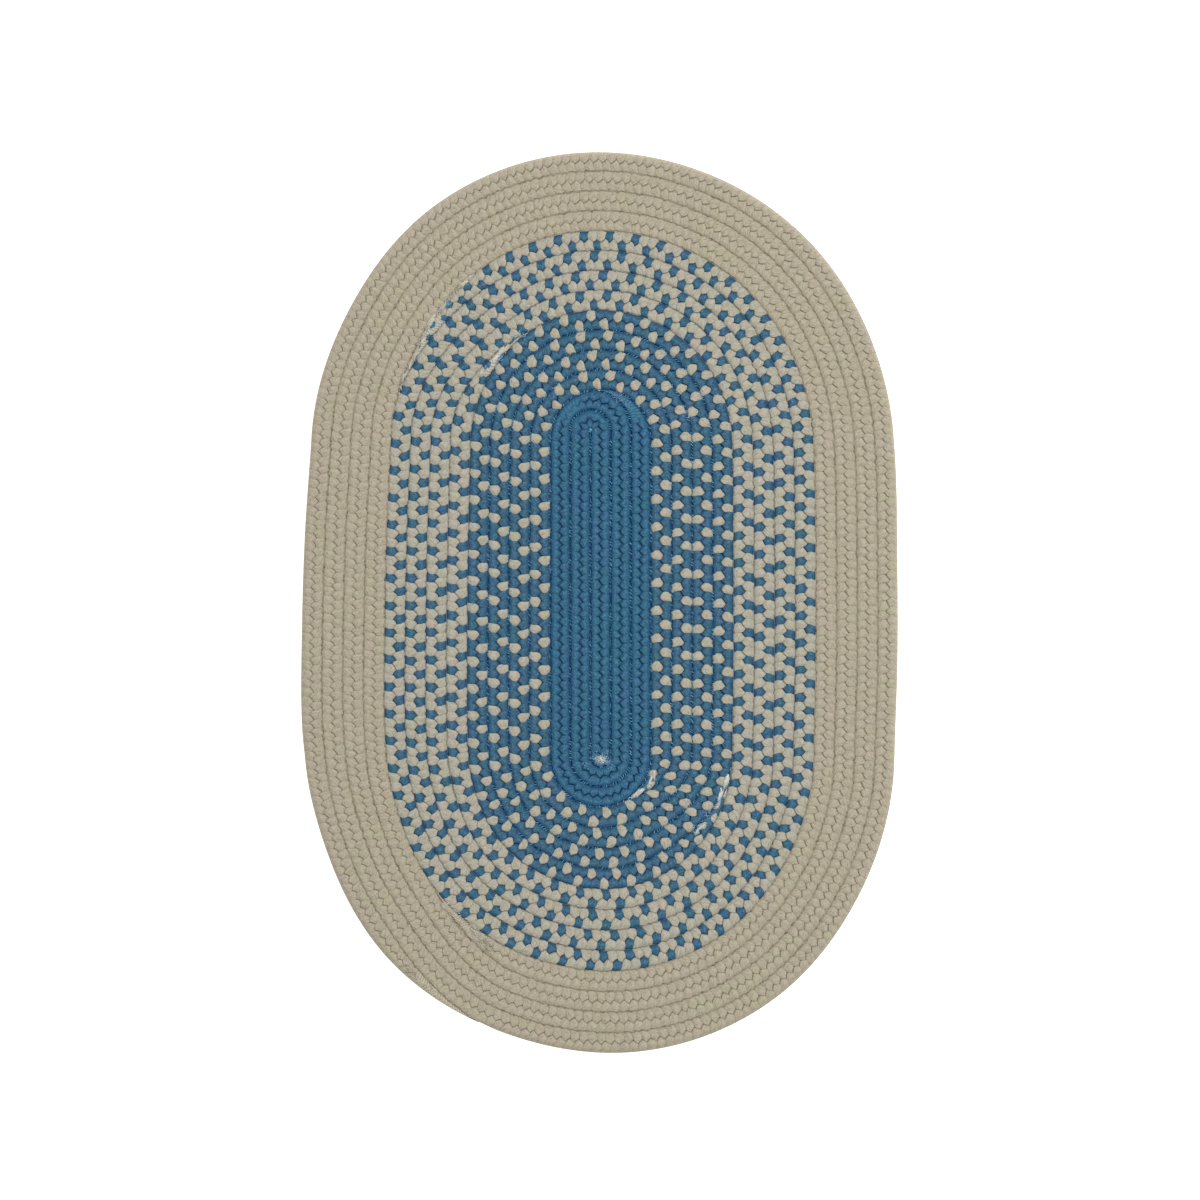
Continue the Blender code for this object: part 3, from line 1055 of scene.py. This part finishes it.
@dataclass(frozen=True)
class YarnFinish:
    """Wool-blend yarn, spun soft, knitted into a flat tape and braided.

    The tape is matt and slightly fuzzy, so it has a faint sheen at its edges and next to no highlight. Its
    dye varies from place to place, and it looks darker down in the creases, where little light gets in.
    """

    name: str
    colour: str
    lean_a: str  # the two colours that the dye drifts to
    lean_b: str
    shade: str  # colour down in the creases
    shade_strength: float
    shade_power: float  # how fast the shade fades away from a crease
    seam_strength: float  # of the shade along the lacing
    side_strength: float  # of the shade between neighbours in a row
    # The wrinkles' darkness is painted shade.
    wrinkle: float = 0.76  # how dark the wrinkles between plies are
    # How dark the painted shade of a needle hole is.
    hole_shade: float = 0.62
    streak: float = 0.06  # how much single fibres differ in tone
    mottle: float = 0.04  # how much tufts of fibre differ
    sheen: float = 0.1
    roughness: float = 0.9

    def material(self) -> bpy.types.Material:
        """Makes the material, which reads the braid's attributes and its map of each lobe in mm.

        Returns:
            The material.
        """
        material = bpy.data.materials.new(self.name)
        material.use_nodes = True
        tree = material.node_tree
        shader = tree.nodes["Principled BSDF"]
        tint = add_node(tree, "ShaderNodeAttribute", attribute_name="tint").outputs["Fac"]
        crease = add_node(tree, "ShaderNodeAttribute", attribute_name="crease").outputs["Fac"]
        needle = self._needle_hole(tree, tint)
        tape = add_node(tree, "ShaderNodeAttribute", attribute_name="tape").outputs["Fac"]
        lobe = add_node(tree, "ShaderNodeUVMap", uv_map="Lobe").outputs["UV"]
        place = add_node(tree, "ShaderNodeTexCoord").outputs["Object"]

        # The dye drifts over some 20 mm, and a little from lobe to lobe.
        drift = add_node(tree, "ShaderNodeTexNoise", {"Vector": place, "Scale": 45.0, "Detail": 2.0})
        drift = add_node(
            tree, "ShaderNodeMapRange", {0: drift.outputs["Fac"], 1: 0.3, 2: 0.7, 3: -0.15, 4: 0.75}
        ).outputs[0]
        lean = add_node(
            tree, "ShaderNodeMath", {0: tint, 1: 0.4, 2: drift}, operation="MULTIPLY_ADD"
        ).outputs[0]
        ramp = add_node(tree, "ShaderNodeValToRGB", {"Fac": lean})
        ramp.color_ramp.elements[0].color = srgb(self.lean_a)
        ramp.color_ramp.elements[1].color = srgb(self.lean_b)
        ramp.color_ramp.elements.new(0.5).color = srgb(self.colour)

        # Every lobe has its own piece of the pattern. Tufts of fibre run from the edge to the tip at a
        # slant, 1 mm wide, and wrinkles between the plies some 2 mm apart, with painted shade in them.
        shift = add_node(tree, "ShaderNodeMath", {0: tint, 1: 973.0}, operation="MULTIPLY").outputs[0]
        shift = add_node(tree, "ShaderNodeCombineXYZ", {"X": shift, "Y": shift}).outputs[0]
        moved = add_node(tree, "ShaderNodeVectorMath", {0: lobe, 1: shift}, operation="ADD").outputs[0]
        slanted = add_node(tree, "ShaderNodeVectorRotate", {"Vector": moved, "Angle": 0.6}).outputs[0]
        fine = add_node(tree, "ShaderNodeMapping", {"Vector": slanted, "Scale": (0.95, 0.28, 1.0)}).outputs[0]
        fibres = add_node(
            tree, "ShaderNodeTexNoise", {"Vector": fine, "Scale": 1.0, "Detail": 3.0, "Roughness": 0.6}
        ).outputs["Fac"]
        coarse = add_node(
            tree, "ShaderNodeMapping", {"Vector": slanted, "Scale": (0.55, 0.16, 1.0)}
        ).outputs[0]
        plies = add_node(
            tree, "ShaderNodeTexNoise", {"Vector": coarse, "Scale": 1.0, "Detail": 1.0}
        ).outputs["Fac"]
        streak = add_node(
            tree, "ShaderNodeMapRange", {0: fibres, 1: 0.3, 2: 0.7, 3: 1 - self.streak, 4: 1 + self.streak}
        ).outputs[0]
        tufts = add_node(
            tree, "ShaderNodeMapping", {"Vector": slanted, "Scale": (0.75, 0.45, 1.0)}
        ).outputs[0]
        tufts = add_node(
            tree, "ShaderNodeTexNoise", {"Vector": tufts, "Scale": 1.0, "Detail": 2.0}
        ).outputs["Fac"]
        tufts = add_node(
            tree, "ShaderNodeMapRange", {0: tufts, 1: 0.3, 2: 0.7, 3: 1 - self.mottle, 4: 1 + self.mottle}
        ).outputs[0]
        streak = add_node(tree, "ShaderNodeMath", {0: streak, 1: tufts}, operation="MULTIPLY").outputs[0]
        # A wrinkle is a thin line along a contour of the coarse pattern: painted shade in the colour, and a
        # groove in the bump.
        off_line = add_node(tree, "ShaderNodeMath", {0: plies, 1: 0.56}, operation="SUBTRACT").outputs[0]
        off_line = add_node(tree, "ShaderNodeMath", {0: off_line}, operation="ABSOLUTE").outputs[0]
        wrinkle = add_node(
            tree, "ShaderNodeMapRange", {0: off_line, 1: 0.015, 2: 0.065, 3: self.wrinkle, 4: 1.0}
        ).outputs[0]
        tone = add_node(tree, "ShaderNodeMath", {0: streak, 1: wrinkle}, operation="MULTIPLY").outputs[0]

        # Tapered ends are overcast: stitches across the braid, 3.1 mm apart, as painted light and shade
        # bands.
        rib_place = add_node(tree, "ShaderNodeMapping", {"Vector": lobe, "Scale": (1.0, 0.1, 1.0)}).outputs[0]
        ribs = add_node(
            tree, "ShaderNodeTexWave",
            {"Vector": rib_place, "Scale": 0.1024, "Distortion": 1.0, "Detail": 1.0},
        ).outputs["Fac"]
        ribs = add_node(tree, "ShaderNodeMapRange", {0: ribs, 1: 0.0, 2: 1.0, 3: 0.72, 4: 1.28}).outputs[0]
        tone = add_node(tree, "ShaderNodeMath", {0: tone, 1: needle}, operation="MULTIPLY").outputs[0]
        tone = add_node(tree, "ShaderNodeMix", {0: tape, 2: tone, 3: ribs}).outputs[0]
        toned = add_node(
            tree, "ShaderNodeVectorMath", {0: ramp.outputs["Color"], "Scale": tone}, operation="SCALE"
        ).outputs[0]

        # The shade is the deepest of three: in the creases, along the lacing, and beside the next lobes.
        deep = add_node(
            tree, "ShaderNodeMath", {0: crease, 1: self.shade_power}, operation="POWER"
        ).outputs[0]
        deep = add_node(
            tree, "ShaderNodeMath", {0: deep, 1: self.shade_strength}, operation="MULTIPLY"
        ).outputs[0]
        seam = add_node(tree, "ShaderNodeAttribute", attribute_name="seam").outputs["Fac"]
        seam = add_node(
            tree, "ShaderNodeMath", {0: seam, 1: self.seam_strength}, operation="MULTIPLY"
        ).outputs[0]
        deep = add_node(tree, "ShaderNodeMath", {0: deep, 1: seam}, operation="MAXIMUM").outputs[0]
        beside = self._side_shade(tree, lobe, tape)
        deep = add_node(tree, "ShaderNodeMath", {0: deep, 1: beside}, operation="MAXIMUM").outputs[0]
        colour = add_node(
            tree, "ShaderNodeMix", {"Factor": deep, 6: toned, 7: srgb(self.shade)}, data_type="RGBA"
        ).outputs[2]
        height = add_node(tree, "ShaderNodeMath", {0: fibres, 1: wrinkle}, operation="ADD").outputs[0]
        bump = add_node(tree, "ShaderNodeBump", {"Height": height, "Strength": 0.5, "Distance": 0.5 * MM})
        tree.links.new(colour, shader.inputs["Base Color"])
        tree.links.new(bump.outputs["Normal"], shader.inputs["Normal"])
        shader.inputs["Roughness"].default_value = self.roughness
        shader.inputs["Sheen Weight"].default_value = self.sheen
        shader.inputs["Sheen Tint"].default_value = srgb(self.colour)
        shader.inputs["Sheen Roughness"].default_value = 0.5
        shader.inputs["Specular IOR Level"].default_value = 0.1
        return material

    def _side_shade(
        self, tree: bpy.types.NodeTree, lobe: bpy.types.NodeSocket, tape: bpy.types.NodeSocket
    ) -> bpy.types.NodeSocket:
        """Shade in the 0.9 mm next to the lobes before and after, on a pitch of 9.2 mm.

        Args:
            tree: the node tree.
            lobe: place on the lobe, in millimetres from its middle and from the braid's edge.
            tape: 1 on a tapered end, which has no lobes.

        Returns:
            The shade's strength.
        """
        along = add_node(tree, "ShaderNodeSeparateXYZ", {"Vector": lobe}).outputs["X"]
        along = add_node(tree, "ShaderNodeMath", {0: along}, operation="ABSOLUTE").outputs[0]
        shade = add_node(
            tree, "ShaderNodeMapRange", {0: along, 1: 3.7, 2: 4.6, 3: 0.0, 4: self.side_strength}
        ).outputs[0]
        return add_node(tree, "ShaderNodeMix", {0: tape, 2: shade, 3: 0.0}).outputs[0]

    def _needle_hole(self, tree: bpy.types.NodeTree, tint: bpy.types.NodeSocket) -> bpy.types.NodeSocket:
        """The small slit, 2 mm long, that the lacing needle left in most lobes near the seam, painted as dark
        shade.

        Args:
            tree: the node tree.
            tint: a number from 0 to 1 that differs from lobe to lobe.

        Returns:
            The tone that the yarn's colour is multiplied by.
        """
        lobe = add_node(tree, "ShaderNodeUVMap", uv_map="Lobe").outputs["UV"]
        random = add_node(
            tree, "ShaderNodeTexWhiteNoise", {"W": tint}, noise_dimensions="1D"
        ).outputs["Color"]
        place = add_node(
            tree, "ShaderNodeVectorMath", {0: random, 1: (8.0, 2.4, 0.0), 2: (-3.2, 1.6, 0.0)},
            operation="MULTIPLY_ADD",
        ).outputs[0]
        apart = add_node(tree, "ShaderNodeVectorMath", {0: lobe, 1: place}, operation="SUBTRACT").outputs[0]
        apart = add_node(tree, "ShaderNodeVectorRotate", {"Vector": apart, "Angle": 0.9}).outputs[0]
        apart = add_node(
            tree, "ShaderNodeVectorMath", {0: apart, 1: (1.6, 0.6, 0.0)}, operation="MULTIPLY"
        ).outputs[0]
        apart = add_node(tree, "ShaderNodeVectorMath", {0: apart}, operation="LENGTH").outputs["Value"]
        return add_node(
            tree, "ShaderNodeMapRange", {0: apart, 1: 0.3, 2: 0.85, 3: self.hole_shade, 4: 1.0}
        ).outputs[0]


# Tan yarn has an even, chalky tone. Painted shade darkens it only close to a crease.
TAN_YARN = YarnFinish(
    "tan_yarn", "#A79F8C", "#A99F8E", "#A6A08A", "#776D57",
    shade_strength=0.3, shade_power=5.0, seam_strength=0.15, side_strength=0.3,
)
# The tan of the mixed braids, which is slightly greyer.
MIXED_TAN_YARN = YarnFinish(
    "mixed_tan_yarn", "#A7A394", "#A9A396", "#A6A392", "#776F5C",
    shade_strength=0.35, shade_power=5.0, seam_strength=0.2, side_strength=0.3,
)
# Blue yarn is heathered: its fibres differ in tone, in streaks and tufts. Painted shade makes it nearly navy
# in the creases.
BLUE_YARN = YarnFinish(
    "blue_yarn", "#3A6680", "#3F6584", "#3A687D", "#033459",
    shade_strength=0.95, shade_power=2.2, seam_strength=1.0, side_strength=0.35,
    wrinkle=0.84, streak=0.36, mottle=0.35,
)
# The blue of the mixed braids, which is slightly greyer.
MIXED_BLUE_YARN = YarnFinish(
    "mixed_blue_yarn", "#406479", "#44647D", "#3F6576", "#043559",
    shade_strength=0.95, shade_power=2.2, seam_strength=0.9, side_strength=0.35,
    wrinkle=0.84, streak=0.36, mottle=0.35,
)
# Lacing threads: one to go with each group of seams, lighter than the shade that they lie in.
TAN_THREAD = ThreadFinish("tan_thread", "#9D9581", "#827963")
BLUE_THREAD = ThreadFinish("blue_thread", "#74B0D0", "#1F5C86")
MIXED_THREAD = ThreadFinish("mixed_thread", "#82827C", "#5F6466")
# Loose fibre at cut ends lets light through, so it is paler than the yarn it comes from.
TAN_FIBRE = ThreadFinish("tan_fibre", "#C6C1B2", "#ACA593")
BLUE_FIBRE = ThreadFinish("blue_fibre", "#9DC0D6", "#4A82A8")
UNDYED_FIBRE = ThreadFinish("undyed_fibre", "#D2D2CA", "#B5B6AE")


# ----------------------------------------------------------------------------------------------------
# Setting
# ----------------------------------------------------------------------------------------------------


@dataclass
class Studio:
    """The pale floor, soft light and camera straight above, in metres unless noted."""

    frame_width: float = 1.2166  # of floor that the camera takes in
    distance: float = 6.0  # of the camera above the rug
    aim: tuple[float, float] = (0.0005, 0.0025)
    sensor: float = 36.0  # width, in millimetres
    camera_range: float = 50.0
    floor_reach: float = 8.0
    floor_glow: float = 0.7
    sky_strength: float = 0.75
    softbox_size: float = 4.0
    softbox_power: float = 440.0  # in watts
    softbox_place: tuple[float, float, float] = (3.0, 4.2, 5.8)

    def build(self, top: float) -> None:
        """Makes the setting.

        Args:
            top: height of the object's upper face.
        """
        mesh = bpy.data.meshes.new("floor")
        reach = self.floor_reach
        corners = [(-reach, -reach, 0), (reach, -reach, 0), (reach, reach, 0), (-reach, reach, 0)]
        mesh.from_pydata(corners, [], [(0, 1, 2, 3)])
        floor = bpy.data.objects.new("floor", mesh)
        bpy.context.scene.collection.objects.link(floor)
        # Matt white paper. A faint glow, as of a lit table, keeps it white beside the rug.
        paper = bpy.data.materials.new("floor_paper")
        paper.use_nodes = True
        sockets = paper.node_tree.nodes["Principled BSDF"].inputs
        sockets["Base Color"].default_value = srgb("#F4F4F4")
        sockets["Roughness"].default_value = 0.9
        sockets["Emission Color"].default_value = srgb("#FFFFFF")
        sockets["Emission Strength"].default_value = self.floor_glow
        mesh.materials.append(paper)

        world = bpy.data.worlds.new("studio")
        bpy.context.scene.world = world
        world.use_nodes = True
        world.node_tree.nodes["Background"].inputs["Color"].default_value = srgb("#FFFFFF")
        world.node_tree.nodes["Background"].inputs["Strength"].default_value = self.sky_strength

        lamp = bpy.data.lights.new("softbox", "AREA")
        lamp.shape = "SQUARE"
        lamp.size = self.softbox_size
        lamp.energy = self.softbox_power
        softbox = bpy.data.objects.new("softbox", lamp)
        softbox.location = self.softbox_place
        softbox.rotation_euler = look_down(softbox.location, (0.0, 0.0, 0.0))
        bpy.context.scene.collection.objects.link(softbox)

        camera = bpy.data.cameras.new("camera")
        camera.sensor_width = self.sensor
        camera.lens = self.sensor * self.distance / self.frame_width
        camera.clip_end = self.camera_range
        eye = bpy.data.objects.new("camera", camera)
        eye.location = (*self.aim, top + self.distance)
        bpy.context.scene.collection.objects.link(eye)
        bpy.context.scene.camera = eye
        bpy.context.scene.view_settings.view_transform = "Standard"


def look_down(location: Vector, target: tuple[float, float, float]) -> Euler:
    """Rotation that points an object's -Z axis from its location at a target."""
    return (Vector(target) - location).to_track_quat("-Z", "Y").to_euler()


# ----------------------------------------------------------------------------------------------------
# The rug
# ----------------------------------------------------------------------------------------------------


# Lobes in each straight side and each end of the mixed braids, one row to a coil. They were fitted by a
# measuring program and not counted by hand.
BLUE_MIX_LOBES = (
    (6.7,),
    (34.0, 22.4, 34.8, 22.9),
    (34.7, 28.9, 34.2, 29.8),
    (34.6, 35.4, 34.5, 36.7),
    (34.7, 42.9, 35.2, 43.3),
)
TAN_MIX_LOBES = (
    (12.5, 34.6, 49.1),
    (34.4, 50.9, 34.8, 55.8),
    (34.6, 57.8, 34.7, 63.1),
    (34.6, 65.4, 35.1, 71.2),
    (35.0, 69.0),
)
# Where loose fibre shows, in round figures. Some of these places were worked out by a measuring program
# before they were rounded.
WHITE_FRAY = (
    FrayedPlace("blue_mix", 0.0, 12.0, 0.5, 1.2, 16, 4.0, clumps=4),
    FrayedPlace("blue_mix", 24.0, 38.0, 0.4, 1.2, 16, 4.0, clumps=2),
    FrayedPlace("blue_mix", -30.0, -8.0, -0.2, 1.2, 20, 4.0, clumps=8),
    FrayedPlace("blue_mix", -75.0, -65.0, 0.3, 2.0, 10, 3.0, clumps=2),
    FrayedPlace("tan_mix", 22.0, 46.0, 0.6, 1.6, 30, 4.0, clumps=5),
    FrayedPlace("tan_mix", -110.0, -70.0, 1.0, 1.2, 30, 4.0),
    FrayedPlace("blue_centre", 3.0, 10.0, 0.5, 6.0, 90, 2.5),
)
TAN_FRAY = (
    FrayedPlace("tan_mix", 18.0, 60.0, 0.6, 3.0, 70, 4.0, clumps=4),
    FrayedPlace("tan_mix", -140.0, -50.0, 1.0, 2.4, 200, 4.0, clumps=10),
    FrayedPlace("tan_mix", -50.0, -2.0, 0.6, 1.6, 70, 4.0, clumps=4),
    FrayedPlace("tan_border", 12.0, 78.0, 0.55, 5.0, 420, 3.5, clumps=6),
    FrayedPlace("tan_border", -95.0, -45.0, 0.5, 3.5, 160, 3.0, clumps=2),
)
BLUE_FRAY = (
    FrayedPlace("blue_centre", 748.0, 761.0, 0.1, 5.0, 60, 2.0),
    FrayedPlace("blue_centre", 711.0, 722.0, 0.34, 4.0, 36, 2.0),
    FrayedPlace("tan_mix", -106.0, -94.0, 0.84, 3.5, 34, 3.0),
    FrayedPlace("tan_mix", -84.0, -72.0, 0.41, 2.5, 16, 3.0),
    FrayedPlace("blue_centre", 2.0, 16.0, 0.5, 10.0, 60, 3.0),
    FrayedPlace("blue_centre", -38.0, -4.0, 0.4, 3.0, 50, 3.0),
    FrayedPlace("blue_mix", -75.0, -25.0, 0.1, 4.0, 70, 3.0),
    FrayedPlace("blue_mix", 0.0, 45.0, 0.6, 4.0, 24, 3.0),
    FrayedPlace("tan_mix", 0.0, 16.0, 1.0, 4.0, 30, 3.0),
    FrayedPlace("tan_mix", 28.0, 42.0, 0.3, 3.0, 30, 3.0),
)


def main() -> None:
    """Builds the rug's looks and its setting."""
    logging.basicConfig(level=logging.INFO)
    plan = RugPlan()
    shift = -plan.middle()
    blue_mix_coil = Coil(0.0, 1 / 3, coils=4, splice_from=0.885, splice_to=1.005)
    tan_mix_coil = Coil(1 / 3, 2 / 3, coils=4, splice_from=0.385, splice_to=0.490)
    border_coil = Coil(2 / 3, 1.0, coils=4, splice_from=0.733, splice_to=0.797)
    tan, blue = TAN_YARN.material(), BLUE_YARN.material()
    mixed_tan, mixed_blue = MIXED_TAN_YARN.material(), MIXED_BLUE_YARN.material()
    shape = LobeShape()
    tan_shape = LobeShape(tip_crease=1.5, side_crease=0.8)
    # The border is the longest braid, so its under face, which the floor hides, has one grid line fewer.
    border_shape = LobeShape(tip_crease=1.5, side_crease=0.8, crown_below=((1.0, 1.0, 1.0),))
    braids = [
        Braid("blue_centre", "blue_centre_braid", centre_path(plan), shape, flat_below=0.7, seed=2),
        Braid(
            "blue_mix", "blue_mix_braid", blue_mix_coil.path(plan), shape,
            lobes=BLUE_MIX_LOBES, first_odd=1.42, odd_plumpness=0.06, odd_taper=0.09, seed=3,
        ),
        Braid(
            "tan_mix", "tan_mix_braid", tan_mix_coil.path(plan), tan_shape,
            lobes=TAN_MIX_LOBES, first_odd=0.23, odd_plumpness=-0.02, odd_taper=0.03, seed=4,
        ),
        Braid("tan_border", "tan_border_braid", border_coil.path(plan), border_shape, seed=5),
    ]
    finishes = {
        "blue_centre": ((blue, blue), "blue_yarn"),
        "blue_mix": ((mixed_blue, mixed_tan), "blue_mix_yarn"),
        "tan_mix": ((mixed_tan, mixed_blue), "tan_mix_yarn"),
        "tan_border": ((tan, tan), "tan_yarn"),
    }
    for braid in braids:
        braid.path.inner += shift
        braid.path.outer += shift
        obj = braid.build()
        yarns, slot = finishes[braid.name]
        for yarn in yarns:
            obj.data.materials.append(yarn)
        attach(obj, BODY)
        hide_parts(braid.node)
        LOG.info("%s: %.2f m of braid, %d faces", braid.name, braid.path.total, len(obj.data.polygons))
    paths = {braid.name: braid.path for braid in braids}
    centre, blue_mix, tan_mix, border = paths.values()
    threads = (
        (Lacing("blue_lacing", [centre, blue_mix], start=plan.core_length), BLUE_THREAD, "blue_yarn"),
        (
            Lacing("mixed_lacing", [tan_mix], core_depth=2.4, thickness=0.6, reach=1.0, shown=0.15),
            MIXED_THREAD, "tan_mix_yarn",
        ),
        (
            Lacing(
                "tan_lacing", [border], core_depth=2.2, thickness=0.6, reach=1.0, shown=0.25,
                stop_short=22.0,
            ),
            TAN_THREAD, "tan_yarn",
        ),
        (Fray("white_fray", WHITE_FRAY, paths), UNDYED_FIBRE, "tan_yarn"),
        (Fray("tan_fray", TAN_FRAY, paths, seed=23), TAN_FIBRE, "tan_yarn"),
        (Fray("blue_fray", BLUE_FRAY, paths, seed=22), BLUE_FIBRE, "blue_yarn"),
    )
    for piece, finish, slot in threads:
        obj = piece.build()
        obj.data.materials.append(finish.material())
        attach(obj, BODY)
        LOG.info("%s: %d faces", piece.name, len(obj.data.polygons))
    Studio().build(CAD_BOX[1][2])


if __name__ == "__main__":
    main()
